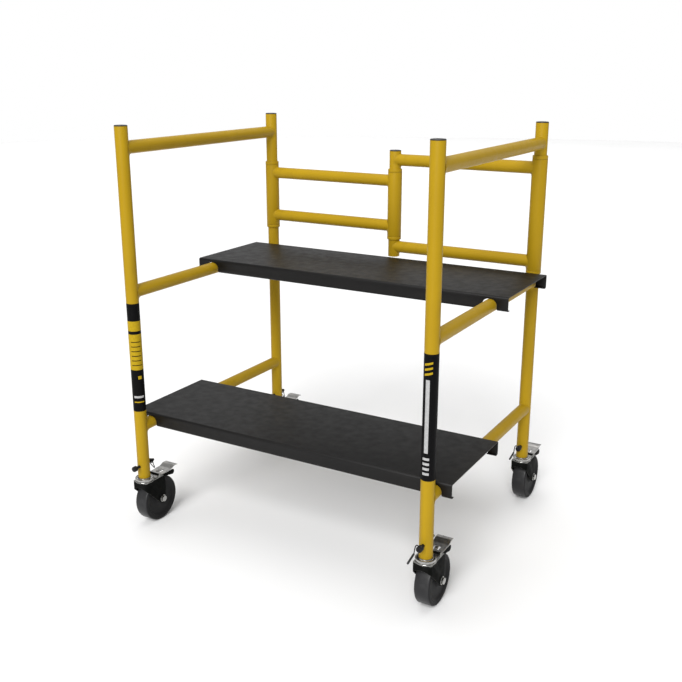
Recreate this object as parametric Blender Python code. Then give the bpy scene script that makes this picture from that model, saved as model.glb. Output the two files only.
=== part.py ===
"""Small folding rolling scaffold: two end frames, a folding rear gate, two lift-out decks, four casters.

X runs from the left frame to the right frame, Y from front to rear, Z up; metres.
The origin is on the floor, at the centre of the footprint.
"""

import math

import bmesh
import bpy
from mathutils import Matrix, Vector

# ---- driving dimensions -------------------------------------------------------------------
SPAN = 0.855                    # between the left and the right post axes
DEPTH = 0.656                   # between the front and the rear post axes
TUBE_R = 0.0167                 # 1-5/16 in frame tube
TUBE_WALL = 0.002
GAP = 0.0003                    # left between pieces that touch

POST_BOTTOM = 0.1415
POST_TOP = 1.0855
CAP_LIP = 0.003                 # thickness of a cap's visible disc
CROSSBAR_Z = 1.033
MID_RUNG_Z = 0.6645
LOW_RUNG_Z = 0.291
RUNG_FILLET = 0.011             # weld fillet under each rung end

SLEEVE_R = 0.0203               # 1-5/8 in hinge sleeve
SLEEVE_BORE_R = 0.0171
STOP_HEIGHT = 0.0095            # stop rings that hold the sleeves at their height
STOP_GAP = 0.0005
RAIL_R = TUBE_R
RAIL_FILLET = 0.004
SHORT_SLEEVE = (0.7485, 0.9335)     # left hinge sleeve and centre sleeve, bottom and top
LONG_SLEEVE = (0.6940, 0.9920)      # right hinge sleeve, bottom and top
LEFT_RAILS = (0.778, 0.909)
RIGHT_RAILS = (0.7175, 0.969)
CENTRE_POST = (0.689, 0.9935)

DECK_LENGTH = 0.9485
DECK_WIDTH = 0.293
UPPER_DECK_FRONT = 0.009        # front edge, behind the middle of the frames
LOWER_DECK_FRONT = -0.290
LOWER_DECK_SHIFT = -0.004       # the lower deck lies a little to the left on its rungs
DECK_RISE = 0.026               # deck top above its rung's axis
DECK_DROP = 0.0112              # flange bottom below its rung's axis
DECK_SHEET = 0.0025
DECK_LIP = 0.012                # the flange's bottom edge, turned inward
DECK_BEND_R = 0.004
NOTCH_CLEARANCE = 0.0008        # round the rung, and on its outboard side
NOTCH_PLAY = 0.004              # on its inboard side

WHEEL_R = 0.0635                # 5 in wheel
WHEEL_HALF = 0.020
TRAIL = 0.042                   # swivel axis to axle
AXLE_R = 0.006
FORK_INNER = 0.0215
FORK_SHEET = 0.003
FORK_FRONT = -0.021             # front face of the fork's apron
FORK_CORNER = 0.006             # its upright corners, seen from above
CROWN_Z = 0.1275                # underside of the fork crown
RACE_R = 0.0255
RACE_TOP = 0.1345
PEDAL_PIVOT = (0.038, 0.1345)   # Y and Z from the swivel axis at the floor
PEDAL_HALF = 0.0208
SKIRT_INNER = 0.0203            # beside the wheel, inside the fork's legs
SKIRT_OUTER = 0.0212
PIN_Z = 0.177                   # locking pin through the post and the stem
PIN_R = 0.004
PIN_HOLE_R = 0.0044
PIN_REAR = 0.040
KNOB = (-0.040, -0.029)         # front and rear face of the pin's head
KNOB_R = 0.0075
EYE_INNER = 0.0044              # wire eye round the pin
EYE_OUTER = 0.0072
EYE_HALF = 0.0015
LEVER_EYE_Y = KNOB[1] + GAP + EYE_HALF
KEEPER_EYE_Y = 0.0305
WIRE_R = 0.0013
GRIP_R = 0.0026

PEDAL_REACH = 0.1145            # pedal tip behind the rear post axis
FRONT_REACH = 0.0762            # lever tip in front of the front post axis

# ---- derived positions --------------------------------------------------------------------
LEFT_X = -SPAN / 2
RIGHT_X = SPAN / 2
MIDDLE_Y = (FRONT_REACH - PEDAL_REACH) / 2      # centres the footprint on the origin
FRONT_Y = MIDDLE_Y - DEPTH / 2
REAR_Y = MIDDLE_Y + DEPTH / 2
TUBE_SIDES = 20


# ---- scene and material helpers -----------------------------------------------------------
def clear_scene():
    for obj in list(bpy.data.objects):
        bpy.data.objects.remove(obj, do_unlink=True)


def make_material(name, colour, roughness, metallic=0.0):
    material = bpy.data.materials.new(name)
    material.use_nodes = True
    shader = material.node_tree.nodes["Principled BSDF"]
    shader.inputs["Base Color"].default_value = (*colour, 1.0)
    shader.inputs["Roughness"].default_value = roughness
    shader.inputs["Metallic"].default_value = metallic
    return material


def make_pivot(name, location, parent=None):
    """An empty on a joint's axis; the pieces that move together hang from it."""
    pivot = bpy.data.objects.new(name, None)
    pivot.empty_display_size = 0.05
    bpy.context.scene.collection.objects.link(pivot)
    pivot.parent = parent
    pivot.location = Vector(location) - world_place(parent)
    return pivot


def world_place(pivot):
    place = Vector((0.0, 0.0, 0.0))
    while pivot is not None:
        place += pivot.location
        pivot = pivot.parent
    return place


def add_piece(name, mesh, material, pivot, location):
    """One named piece: `location` is where the mesh's origin stands in the world."""
    if not mesh.materials:
        mesh.materials.append(material)
    piece = bpy.data.objects.new(name, mesh)
    bpy.context.scene.collection.objects.link(piece)
    piece.parent = pivot
    piece.location = Vector(location) - world_place(pivot)
    return piece


def finish_mesh(bm, name, sharp_angle=35.0):
    bmesh.ops.remove_doubles(bm, verts=bm.verts, dist=1e-7)
    bmesh.ops.recalc_face_normals(bm, faces=bm.faces)
    mesh = bpy.data.meshes.new(name)
    bm.to_mesh(mesh)
    bm.free()
    mesh.shade_smooth()
    mesh.set_sharp_from_angle(angle=math.radians(sharp_angle))
    return mesh


def combine(name, base, others, operation, sharp_angle=35.0):
    """The base mesh with the other meshes cut out of it or joined to it."""
    temporary = [bpy.data.objects.new("temporary", mesh) for mesh in [base, *others]]
    for obj in temporary:
        bpy.context.scene.collection.objects.link(obj)
    body = temporary[0]
    for other in temporary[1:]:
        boolean = body.modifiers.new("boolean", "BOOLEAN")
        boolean.operation = operation
        boolean.solver = "EXACT"
        boolean.object = other
    depsgraph = bpy.context.evaluated_depsgraph_get()
    result = bpy.data.meshes.new_from_object(body.evaluated_get(depsgraph))
    for obj in temporary:
        bpy.data.objects.remove(obj, do_unlink=True)
    result.name = name
    result.shade_smooth()
    result.set_sharp_from_angle(angle=math.radians(sharp_angle))
    return result


# ---- shape helpers ------------------------------------------------------------------------
def lathe(name, profile, sides, closed=False, axis="Z"):
    """A profile of (radius, height) points turned about an axis.

    An open profile starts and ends on the axis; a closed one is a ring's section.
    """
    bm = bmesh.new()
    verts = [bm.verts.new((radius, 0.0, height)) for radius, height in profile]
    edges = [bm.edges.new(pair) for pair in zip(verts, verts[1:])]
    if closed:
        edges.append(bm.edges.new((verts[-1], verts[0])))
    bmesh.ops.spin(bm, geom=verts + edges, cent=(0, 0, 0), axis=(0, 0, 1),
                   angle=math.tau, steps=sides, use_merge=True)
    if axis == "X":
        bmesh.ops.rotate(bm, verts=bm.verts, matrix=Matrix.Rotation(math.pi / 2, 3, "Y"))
    if axis == "Y":
        bmesh.ops.rotate(bm, verts=bm.verts, matrix=Matrix.Rotation(-math.pi / 2, 3, "X"))
    bmesh.ops.dissolve_degenerate(bm, edges=bm.edges, dist=1e-7)
    return finish_mesh(bm, name)


def prism(name, outline, low, high, axis="X"):
    """A flat outline pushed from `low` to `high` along X (outline in YZ) or Y (outline in XZ)."""
    bm = bmesh.new()
    if axis == "X":
        corners = [bm.verts.new((low, a, b)) for a, b in outline]
        push = Vector((high - low, 0.0, 0.0))
    else:
        corners = [bm.verts.new((a, low, b)) for a, b in outline]
        push = Vector((0.0, high - low, 0.0))
    face = bm.faces.new(corners)
    moved = bmesh.ops.extrude_face_region(bm, geom=[face])
    ends = [item for item in moved["geom"] if isinstance(item, bmesh.types.BMVert)]
    bmesh.ops.translate(bm, verts=ends, vec=push)
    return finish_mesh(bm, name)


def arc(centre, radius, start, end, steps):
    """Points on an arc from `start` to `end` degrees."""
    points = []
    for step in range(steps + 1):
        angle = math.radians(start + (end - start) * step / steps)
        points.append((centre[0] + radius * math.cos(angle), centre[1] + radius * math.sin(angle)))
    return points


def tube_along(name, points, radius, sides):
    """A round bar swept along a line of points, with flat ends."""
    bm = bmesh.new()
    rings = []
    for index, point in enumerate(points):
        before = points[max(index - 1, 0)]
        after = points[min(index + 1, len(points) - 1)]
        heading = (Vector(after) - Vector(before)).normalized()
        side = heading.cross(Vector((0.31, 0.17, 0.94))).normalized()
        up = side.cross(heading)
        ring = []
        for step in range(sides):
            angle = math.tau * step / sides
            offset = side * math.cos(angle) * radius + up * math.sin(angle) * radius
            ring.append(bm.verts.new(Vector(point) + offset))
        rings.append(ring)
    for near, far in zip(rings, rings[1:]):
        for step in range(sides):
            following = (step + 1) % sides
            bm.faces.new((near[step], near[following], far[following], far[step]))
    bm.faces.new(rings[0])
    bm.faces.new(rings[-1])
    return finish_mesh(bm, name)


def coped_tube(name, length, radius, cope_near, cope_far, fillet, steps_in):
    """A hollow tube along +Y between two upright tubes whose axes are `length` apart.

    Each end is cut to the shape of the upright of radius `cope_near` or `cope_far`, and
    the lower side of the outer skin runs down into a weld fillet; `steps_in` are the
    fractions of the fillet's length at which the skin bends.
    """
    bm = bmesh.new()

    def fillet_drop(distance, down):
        if distance >= fillet:
            return 0.0
        left = fillet - distance
        return (fillet - math.sqrt(fillet * fillet - left * left)) * down

    def ring(ring_radius, distance, near, filleted):
        verts = []
        for step in range(TUBE_SIDES):
            angle = math.tau * step / TUBE_SIDES
            across = ring_radius * math.cos(angle)
            height = ring_radius * math.sin(angle)
            cope = (cope_near if near else cope_far) + GAP
            saddle = math.sqrt(max(cope * cope - across * across, 0.0))
            along = saddle + distance if near else length - saddle - distance
            if filleted:
                height -= fillet_drop(distance, max(0.0, -math.sin(angle)) ** 1.5)
            verts.append(bm.verts.new((across, along, height)))
        return verts

    outer = [ring(radius, fillet * part, True, True) for part in steps_in]
    outer += [ring(radius, fillet * part, False, True) for part in reversed(steps_in)]
    bore = radius - TUBE_WALL
    inner = [ring(bore, 0.001, False, False), ring(bore, 0.001, True, False)]
    loops = outer + inner
    for first, second in zip(loops, loops[1:] + loops[:1]):
        for step in range(TUBE_SIDES):
            following = (step + 1) % TUBE_SIDES
            bm.faces.new((first[step], first[following], second[following], second[step]))
    return finish_mesh(bm, name, 50.0)


def cylinder_section(radius, low, high):
    return [(0.0, low), (radius, low), (radius, high), (0.0, high)]


def ring_section(inner, outer, low, high):
    return [(inner, low), (outer, low), (outer, high), (inner, high)]


# ---- frame pieces -------------------------------------------------------------------------
def pin_hole_cutter():
    cutter = lathe("pin hole", cylinder_section(PIN_HOLE_R, -0.03, 0.03), 14, axis="Y")
    cutter.transform(Matrix.Translation((0.0, 0.0, PIN_Z)))
    return cutter


def post_mesh():
    section = ring_section(TUBE_R - TUBE_WALL, TUBE_R, POST_BOTTOM, POST_TOP)
    return combine("post", lathe("tube", section, TUBE_SIDES, closed=True),
                   [pin_hole_cutter()], "DIFFERENCE")


def cap_mesh():
    """A push-in cap: a plug inside the tube under a disc flush with the tube."""
    plug = TUBE_R - TUBE_WALL - GAP
    profile = [(0.0, -0.012), (plug, -0.012), (plug, GAP), (TUBE_R, GAP),
               (TUBE_R, CAP_LIP - 0.001), (TUBE_R - 0.001, CAP_LIP), (0.0, CAP_LIP)]
    return lathe("cap", profile, TUBE_SIDES)


def add_end_frame(side, x, pivot, paint, plastic):
    """Two posts, a crossbar below their tops and two rungs that carry the decks."""
    post = post_mesh()
    cap = cap_mesh()
    rung = coped_tube("rung", DEPTH, TUBE_R, TUBE_R, TUBE_R, RUNG_FILLET, (0.0, 0.25, 1.0))
    for place, y in (("front", FRONT_Y), ("rear", REAR_Y)):
        add_piece(f"{side}_{place}_post", post, paint, pivot, (x, y, 0.0))
        add_piece(f"{side}_{place}_cap", cap, plastic, pivot, (x, y, POST_TOP))
    for level, z in (("crossbar", CROSSBAR_Z), ("mid_rung", MID_RUNG_Z), ("low_rung", LOW_RUNG_Z)):
        add_piece(f"{side}_{level}", rung, paint, pivot, (x, FRONT_Y, z))


# ---- rear gate ----------------------------------------------------------------------------
def sleeve_mesh(name, reach):
    return lathe(name, ring_section(SLEEVE_BORE_R, SLEEVE_R, reach[0], reach[1]), TUBE_SIDES, closed=True)


def stop_mesh(wide_end_up):
    """A stop ring welded to a post, bevelled on the end away from its sleeve."""
    inner = TUBE_R + GAP
    bevel = 0.002
    if wide_end_up:
        section = [(inner, 0.0), (SLEEVE_R - bevel, 0.0), (SLEEVE_R, bevel),
                   (SLEEVE_R, STOP_HEIGHT), (inner, STOP_HEIGHT)]
    else:
        section = [(inner, 0.0), (SLEEVE_R, 0.0), (SLEEVE_R, STOP_HEIGHT - bevel),
                   (SLEEVE_R - bevel, STOP_HEIGHT), (inner, STOP_HEIGHT)]
    return lathe("stop ring", section, TUBE_SIDES, closed=True)


def add_stops(name, x, reach, pivot, paint):
    lower_z = reach[0] - STOP_GAP - STOP_HEIGHT
    add_piece(f"{name}_stop_lower", stop_mesh(True), paint, pivot, (x, REAR_Y, lower_z))
    add_piece(f"{name}_stop_upper", stop_mesh(False), paint, pivot, (x, REAR_Y, reach[1] + STOP_GAP))


def rail_mesh(cope_near, cope_far):
    """A gate rail along +X from one upright's axis."""
    rail = coped_tube("rail", SPAN / 2, RAIL_R, cope_near, cope_far, RAIL_FILLET, (0.0, 1.0))
    rail.transform(Matrix.Rotation(-math.pi / 2, 4, "Z"))
    return rail


def add_left_gate(pivot, paint):
    add_piece("left_hinge_sleeve", sleeve_mesh("short sleeve", SHORT_SLEEVE), paint, pivot,
              (LEFT_X, REAR_Y, 0.0))
    add_piece("centre_sleeve", sleeve_mesh("short sleeve", SHORT_SLEEVE), paint, pivot,
              (0.0, REAR_Y, 0.0))
    rail = rail_mesh(SLEEVE_R, SLEEVE_R)
    for level, z in zip(("lower", "upper"), LEFT_RAILS):
        add_piece(f"left_gate_{level}_rail", rail, paint, pivot, (LEFT_X, REAR_Y, z))


def add_right_gate(pivot, paint, plastic):
    section = ring_section(TUBE_R - TUBE_WALL, TUBE_R, CENTRE_POST[0], CENTRE_POST[1])
    centre = lathe("centre post", section, TUBE_SIDES, closed=True)
    add_piece("centre_post", centre, paint, pivot, (0.0, REAR_Y, 0.0))
    add_piece("centre_cap", cap_mesh(), plastic, pivot, (0.0, REAR_Y, CENTRE_POST[1]))
    add_stops("centre", 0.0, SHORT_SLEEVE, pivot, paint)
    add_piece("right_hinge_sleeve", sleeve_mesh("long sleeve", LONG_SLEEVE), paint, pivot,
              (RIGHT_X, REAR_Y, 0.0))
    rail = rail_mesh(TUBE_R, SLEEVE_R)
    for level, z in zip(("lower", "upper"), RIGHT_RAILS):
        add_piece(f"right_gate_{level}_rail", rail, paint, pivot, (0.0, REAR_Y, z))


# ---- decks --------------------------------------------------------------------------------
def deck_section():
    """The bent sheet's outline in YZ, about the middle of the deck and its rung's height."""
    half = DECK_WIDTH / 2
    bend = DECK_BEND_R
    inside = DECK_BEND_R - DECK_SHEET
    low = -DECK_DROP
    right_outer = [(half - DECK_LIP, low)] + arc((half - bend, low + bend), bend, -90, 0, 2)
    right_outer += arc((half - bend, DECK_RISE - bend), bend, 0, 90, 2)
    right_inner = arc((half - bend, DECK_RISE - bend), inside, 90, 0, 2)
    right_inner += arc((half - bend, low + bend), inside, 0, -90, 2)
    right_inner += [(half - DECK_LIP, low + DECK_SHEET)]
    left_outer = [(-y, z) for y, z in reversed(right_outer)]
    left_inner = [(-y, z) for y, z in reversed(right_inner)]
    return right_outer + left_outer + left_inner + right_inner


def notch_outline(x, outboard):
    """An arched notch over a rung at `x`; `outboard` is the sign of the deck's near end."""
    radius = TUBE_R + NOTCH_CLEARANCE
    arch = arc((0.0, 0.0), radius, 0, 90, 6)
    outer = [(x + outboard * a, z) for a, z in arch]
    inner = [(x - outboard * (a + NOTCH_PLAY), z) for a, z in reversed(arch)]
    below = -DECK_DROP - 0.01
    return [(outer[0][0], below)] + outer + inner + [(inner[-1][0], below)]


def deck_mesh(shift):
    """The deck about the middle of the span, with its ends moved along X by `shift`."""
    sheet = prism("sheet", deck_section(), shift - DECK_LENGTH / 2, shift + DECK_LENGTH / 2)
    cutters = []
    for x, outboard in ((LEFT_X, -1), (RIGHT_X, 1)):
        cutters.append(prism("notch", notch_outline(x, outboard), -DECK_WIDTH, DECK_WIDTH, "Y"))
    return combine("deck", sheet, cutters, "DIFFERENCE")


def add_deck(name, front, z, shift, frame, coat):
    y = MIDDLE_Y + front + DECK_WIDTH / 2
    tilt = make_pivot(f"{name}_tilt", (LEFT_X, y, z), frame)
    add_piece(name, deck_mesh(shift), coat, tilt, (0.0, y, z))


# ---- casters ------------------------------------------------------------------------------
def stem_mesh():
    """The pinned stem, with the upper bearing cup under the post."""
    stem_r = TUBE_R - TUBE_WALL - 0.0005
    cup_low = RACE_TOP + 0.0005
    shoulder = POST_BOTTOM - GAP
    profile = [(0.0, cup_low), (RACE_R - 0.001, cup_low), (RACE_R, cup_low + 0.001),
               (RACE_R, cup_low + 0.0028), (RACE_R - 0.0015, cup_low + 0.0042),
               (TUBE_R + 0.002, shoulder), (stem_r, shoulder), (stem_r, 0.2125), (0.0, 0.2125)]
    return combine("stem", lathe("stem", profile, TUBE_SIDES), [pin_hole_cutter()], "DIFFERENCE")


def leg_outline():
    """The fork's side in YZ: crown height at the swivel, ears for the pedal, round the axle."""
    crown_top = CROWN_Z + FORK_SHEET
    outline = [(FORK_FRONT, crown_top), (FORK_FRONT, 0.109), (-0.018, 0.1045)]
    outline += arc((TRAIL, WHEEL_R), 0.014, 205, 360, 6)
    outline += [(0.058, 0.110), (0.054, crown_top)]
    outline += arc(PEDAL_PIVOT, 0.0065, -10, 190, 5)
    outline += [(0.0295, crown_top)]
    return outline


def fork_plan(outer):
    """The fork from above, as a block with its two front corners rounded."""
    corner_y = FORK_FRONT + FORK_CORNER
    outline = [(-outer, 0.13)] + arc((FORK_CORNER - outer, corner_y), FORK_CORNER, 180, 270, 4)
    outline += arc((outer - FORK_CORNER, corner_y), FORK_CORNER, 270, 360, 4) + [(outer, 0.13)]
    plan = prism("plan", outline, -0.16, -0.01, "Y")
    plan.transform(Matrix.Rotation(-math.pi / 2, 4, "X"))
    return plan


def fork_mesh():
    outer = FORK_INNER + FORK_SHEET
    body = combine("fork", prism("fork body", leg_outline(), -outer, outer), [fork_plan(outer)], "INTERSECT")
    room_front = FORK_FRONT + 0.0025
    below = [(room_front, -0.01), (0.12, -0.01), (0.12, CROWN_Z), (room_front, CROWN_Z)]
    wheel_room = prism("wheel room", below, -FORK_INNER, FORK_INNER)
    arch = [(-FORK_INNER, -0.01), (FORK_INNER, -0.01), (FORK_INNER, 0.1075), (0.0115, 0.1118), (0.0, 0.113),
            (-0.0115, 0.1118), (-FORK_INNER, 0.1075)]
    arch_room = prism("arch room", arch, -0.05, -0.015, "Y")
    behind = [(0.029, 0.10), (0.12, 0.10), (0.12, 0.16), (0.029, 0.16)]
    pedal_room = prism("pedal room", behind, -FORK_INNER, FORK_INNER)
    race = [(0.0, CROWN_Z + 0.001), (RACE_R - 0.001, CROWN_Z + 0.001), (RACE_R, CROWN_Z + 0.002),
            (RACE_R, RACE_TOP - 0.001), (RACE_R - 0.001, RACE_TOP), (0.0, RACE_TOP)]
    axle_hole = lathe("axle hole", cylinder_section(AXLE_R + GAP, -0.05, 0.05), 12, axis="X")
    axle_hole.transform(Matrix.Translation((0.0, TRAIL, WHEEL_R)))
    hollowed = combine("fork", body, [wheel_room, arch_room, pedal_room, axle_hole], "DIFFERENCE")
    return combine("fork", hollowed, [lathe("race", race, TUBE_SIDES)], "UNION")


def wheel_mesh():
    """A solid wheel with a bevelled tread, dished sides and a hub."""
    bore = AXLE_R + GAP
    half = WHEEL_HALF
    dish = 0.0155
    section = [(bore, -half), (0.017, -half), (0.019, -dish), (0.047, -dish), (0.051, -half),
               (WHEEL_R - 0.0055, -half), (WHEEL_R, -half + 0.0045),
               (WHEEL_R, half - 0.0045), (WHEEL_R - 0.0055, half), (0.051, half),
               (0.047, dish), (0.019, dish), (0.017, half), (bore, half)]
    return lathe("wheel", section, 28, closed=True, axis="X")


def axle_mesh():
    """The axle bolt: a plain shank between its hexagon head and nut."""
    outer = FORK_INNER + FORK_SHEET + GAP
    end = outer + 0.0065
    shank = lathe("shank", cylinder_section(AXLE_R - GAP, -end - 0.002, end), 12, axis="X")
    heads = []
    for low, high in ((-end, -outer), (outer, end)):
        heads.append(lathe("hexagon", cylinder_section(0.0105, low, high), 6, axis="X"))
    return combine("axle", shank, heads, "UNION")


def pedal_mesh():
    """The brake pedal about its pivot: a slotted plate with an up-curled tip and two side skirts."""
    top = [(-0.0200, -0.0010), (0.0460, 0.0000), (0.0520, 0.0006), (0.0640, 0.0053), (0.0765, 0.0045)]
    bottom = [(-0.0200, -0.0028), (0.0460, -0.0020), (0.0528, -0.0014), (0.0646, 0.0033), (0.0765, 0.0025)]
    plate = prism("plate", top + bottom[::-1], -PEDAL_HALF, PEDAL_HALF)
    skirt_end = (0.0535, -0.0095)
    side = [(0.0, -0.0015)] + arc(skirt_end, 0.008, 90, -90, 6) + [(0.020, -0.010), (0.0, -0.0045)]
    skirts = [prism("skirt", side, SKIRT_INNER, SKIRT_OUTER),
              prism("skirt", side, -SKIRT_OUTER, -SKIRT_INNER)]
    barrel = lathe("barrel", cylinder_section(0.004, -SKIRT_OUTER, SKIRT_OUTER), 12, axis="X")
    slot = prism("slot", [(0.016, -0.02), (0.034, -0.02), (0.034, 0.02), (0.016, 0.02)], -0.008, 0.008)
    race_room = lathe("race room", cylinder_section(RACE_R + 0.001, -0.02, 0.02), TUBE_SIDES)
    race_room.transform(Matrix.Translation((0.0, -PEDAL_PIVOT[0], 0.0)))
    joined = combine("pedal", plate, [*skirts, barrel], "UNION")
    return combine("pedal", joined, [slot, race_room], "DIFFERENCE")


def pin_mesh():
    """The locking pin along Y, with its flat head at the front."""
    front, rear = KNOB
    edge = 0.001
    profile = [(0.0, front), (KNOB_R - edge, front), (KNOB_R, front + edge), (KNOB_R, rear - edge),
               (KNOB_R - edge, rear), (PIN_R, rear), (PIN_R, PIN_REAR - edge),
               (PIN_R - edge, PIN_REAR), (0.0, PIN_REAR)]
    return lathe("pin", profile, 12, axis="Y")


def eye_mesh(y):
    section = ring_section(EYE_INNER, EYE_OUTER, y - EYE_HALF, y + EYE_HALF)
    return lathe("eye", section, 12, closed=True, axis="Y")


def lever_mesh():
    """A wire lever from an eye behind the pin's head, with a sleeved grip."""
    rim = (EYE_INNER + EYE_OUTER) / 2
    elbow = (-0.0105, -0.043, -0.011)
    wire = tube_along("wire", [(-rim, LEVER_EYE_Y, 0.001), (-0.0095, LEVER_EYE_Y - 0.003, 0.005),
                               (-0.0105, -0.036, 0.004), (-0.0105, -0.0385, -0.001), elbow,
                               (-0.0105, -0.050, -0.014)], WIRE_R, 6)
    grip = tube_along("grip", [elbow, (-0.0105, -0.0755, -0.0205)], GRIP_R, 8)
    return combine("lever", eye_mesh(LEVER_EYE_Y), [wire, grip], "UNION")


def keeper_mesh():
    """A wire keeper: an eye on the pin's free end and a narrow loop hanging from it."""
    rim = (EYE_INNER + EYE_OUTER) / 2
    down = [(-rim, KEEPER_EYE_Y, -0.001), (-0.005, KEEPER_EYE_Y + 0.002, -0.010),
            (-0.0005, KEEPER_EYE_Y + 0.009, -0.0235), (0.0015, KEEPER_EYE_Y + 0.0095, -0.0245),
            (0.0035, KEEPER_EYE_Y + 0.009, -0.0235), (0.006, KEEPER_EYE_Y + 0.002, -0.010),
            (rim, KEEPER_EYE_Y, -0.001)]
    wire = tube_along("wire", down, WIRE_R, 6)
    return combine("keeper", eye_mesh(KEEPER_EYE_Y), [wire], "UNION")


def add_caster(corner, x, y, pin_wire, frame, meshes, coats):
    """A braked swivel caster under one post; `pin_wire` is the wire piece on its locking pin."""
    ground = (x, y, 0.0)
    add_piece(f"{corner}_stem", meshes["stem"], coats["zinc"], frame, ground)
    swivel = make_pivot(f"{corner}_swivel", (x, y, CROWN_Z), frame)
    add_piece(f"{corner}_fork", meshes["fork"], coats["fork"], swivel, ground)
    hub = (x, y + TRAIL, WHEEL_R)
    add_piece(f"{corner}_axle", meshes["axle"], coats["zinc"], swivel, hub)
    spin = make_pivot(f"{corner}_spin", hub, swivel)
    add_piece(f"{corner}_wheel", meshes["wheel"], coats["wheel"], spin, hub)
    brake = (x, y + PEDAL_PIVOT[0], PEDAL_PIVOT[1])
    press = make_pivot(f"{corner}_press", brake, swivel)
    add_piece(f"{corner}_pedal", meshes["pedal"], coats["zinc"], press, brake)
    hole = (x, y, PIN_Z)
    pull = make_pivot(f"{corner}_pull", hole, frame)
    add_piece(f"{corner}_pin", meshes["pin"], coats["black"], pull, hole)
    add_piece(f"{corner}_{pin_wire}", meshes[pin_wire], coats["black"], pull, hole)


# ---- the whole scaffold -------------------------------------------------------------------
def build():
    clear_scene()
    paint = make_material("yellow paint", (0.66, 0.45, 0.03), 0.38)
    plastic = make_material("black plastic", (0.02, 0.02, 0.02), 0.5)
    coats = {
        "zinc": make_material("zinc plate", (0.62, 0.62, 0.60), 0.3, 1.0),
        "fork": make_material("dark steel", (0.10, 0.10, 0.095), 0.4, 0.8),
        "wheel": make_material("grey wheel", (0.045, 0.045, 0.048), 0.55),
        "black": make_material("black oxide", (0.02, 0.02, 0.022), 0.45, 0.5),
    }
    deck_coat = make_material("black powder coat", (0.045, 0.043, 0.042), 0.55)

    left = make_pivot("left_frame", (LEFT_X, REAR_Y, 0.0))
    left_gate = make_pivot("left_gate", (LEFT_X, REAR_Y, SHORT_SLEEVE[0]), left)
    right_gate = make_pivot("right_gate", (0.0, REAR_Y, SHORT_SLEEVE[0]), left_gate)
    right = make_pivot("right_frame", (RIGHT_X, REAR_Y, LONG_SLEEVE[0]), right_gate)

    add_end_frame("left", LEFT_X, left, paint, plastic)
    add_end_frame("right", RIGHT_X, right, paint, plastic)
    add_stops("left", LEFT_X, SHORT_SLEEVE, left, paint)
    add_stops("right", RIGHT_X, LONG_SLEEVE, right, paint)
    add_left_gate(left_gate, paint)
    add_right_gate(right_gate, paint, plastic)

    add_deck("upper_deck", UPPER_DECK_FRONT, MID_RUNG_Z, 0.0, left, deck_coat)
    add_deck("lower_deck", LOWER_DECK_FRONT, LOW_RUNG_Z, LOWER_DECK_SHIFT, left, deck_coat)

    meshes = {"stem": stem_mesh(), "fork": fork_mesh(), "wheel": wheel_mesh(), "axle": axle_mesh(),
              "pedal": pedal_mesh(), "pin": pin_mesh(), "lever": lever_mesh(), "keeper": keeper_mesh()}
    for frame, side, x, pin_wire in ((left, "left", LEFT_X, "keeper"), (right, "right", RIGHT_X, "lever")):
        for place, y in (("front", FRONT_Y), ("rear", REAR_Y)):
            add_caster(f"{side}_{place}", x, y, pin_wire, frame, meshes, coats)


build()
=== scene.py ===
"""Looks for the small folding rolling scaffold: finer tubes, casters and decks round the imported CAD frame."""

import math

import bmesh
import bpy
from mathutils import Matrix, Vector


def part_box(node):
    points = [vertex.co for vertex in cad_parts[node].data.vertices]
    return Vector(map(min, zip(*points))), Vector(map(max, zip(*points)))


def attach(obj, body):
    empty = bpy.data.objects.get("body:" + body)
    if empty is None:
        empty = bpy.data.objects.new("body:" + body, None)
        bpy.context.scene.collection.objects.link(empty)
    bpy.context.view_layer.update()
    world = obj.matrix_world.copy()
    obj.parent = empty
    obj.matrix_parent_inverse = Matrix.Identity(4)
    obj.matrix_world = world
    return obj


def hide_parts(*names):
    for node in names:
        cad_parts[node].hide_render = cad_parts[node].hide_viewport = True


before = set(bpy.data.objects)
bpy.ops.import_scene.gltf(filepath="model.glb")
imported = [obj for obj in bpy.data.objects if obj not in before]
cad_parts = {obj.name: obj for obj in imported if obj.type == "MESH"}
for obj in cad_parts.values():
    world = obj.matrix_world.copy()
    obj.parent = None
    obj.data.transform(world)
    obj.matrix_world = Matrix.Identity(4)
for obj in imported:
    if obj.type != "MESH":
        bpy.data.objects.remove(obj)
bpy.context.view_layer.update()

# ---- sizes taken from the frame -----------------------------------------------------------
SIDES = 64
TUBE_WALL = 0.002
GAP = 0.0003
CORNERS = ("left_front", "left_rear", "right_front", "right_rear")


def centre_of(node):
    low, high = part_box(node)
    return (low + high) / 2


def post_axis(corner):
    centre = centre_of(f"{corner}_post")
    return centre.x, centre.y


POST_LOW, POST_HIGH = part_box("left_front_post")
POST_R = (POST_HIGH.x - POST_LOW.x) / 2
SLEEVE_LOW, SLEEVE_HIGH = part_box("left_hinge_sleeve")
SLEEVE_R = (SLEEVE_HIGH.x - SLEEVE_LOW.x) / 2
LEFT_X, FRONT_Y = post_axis("left_front")
RIGHT_X, REAR_Y = post_axis("right_rear")
MIDDLE_Y = (FRONT_Y + REAR_Y) / 2
DEPTH = REAR_Y - FRONT_Y
SPAN = RIGHT_X - LEFT_X

# caster shape, about the post's axis at the floor
WHEEL_R = 0.0635
WHEEL_HALF = 0.020
TRAIL = 0.042
CROWN_Z = 0.1275
FORK_INNER = 0.0215
FORK_OUTER = 0.0245
FORK_FRONT = -0.021
FORK_CORNER = 0.006
RACE_R = 0.0255
RACE_TOP = 0.1345
PEDAL_PIVOT = (0.038, 0.1345)
PEDAL_HALF = 0.0208
PEDAL_PLATE = 0.0018
PEDAL_SLOT = (0.016, 0.034)
PEDAL_SLOT_HALF = 0.008
PIN_Z = 0.177

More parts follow.
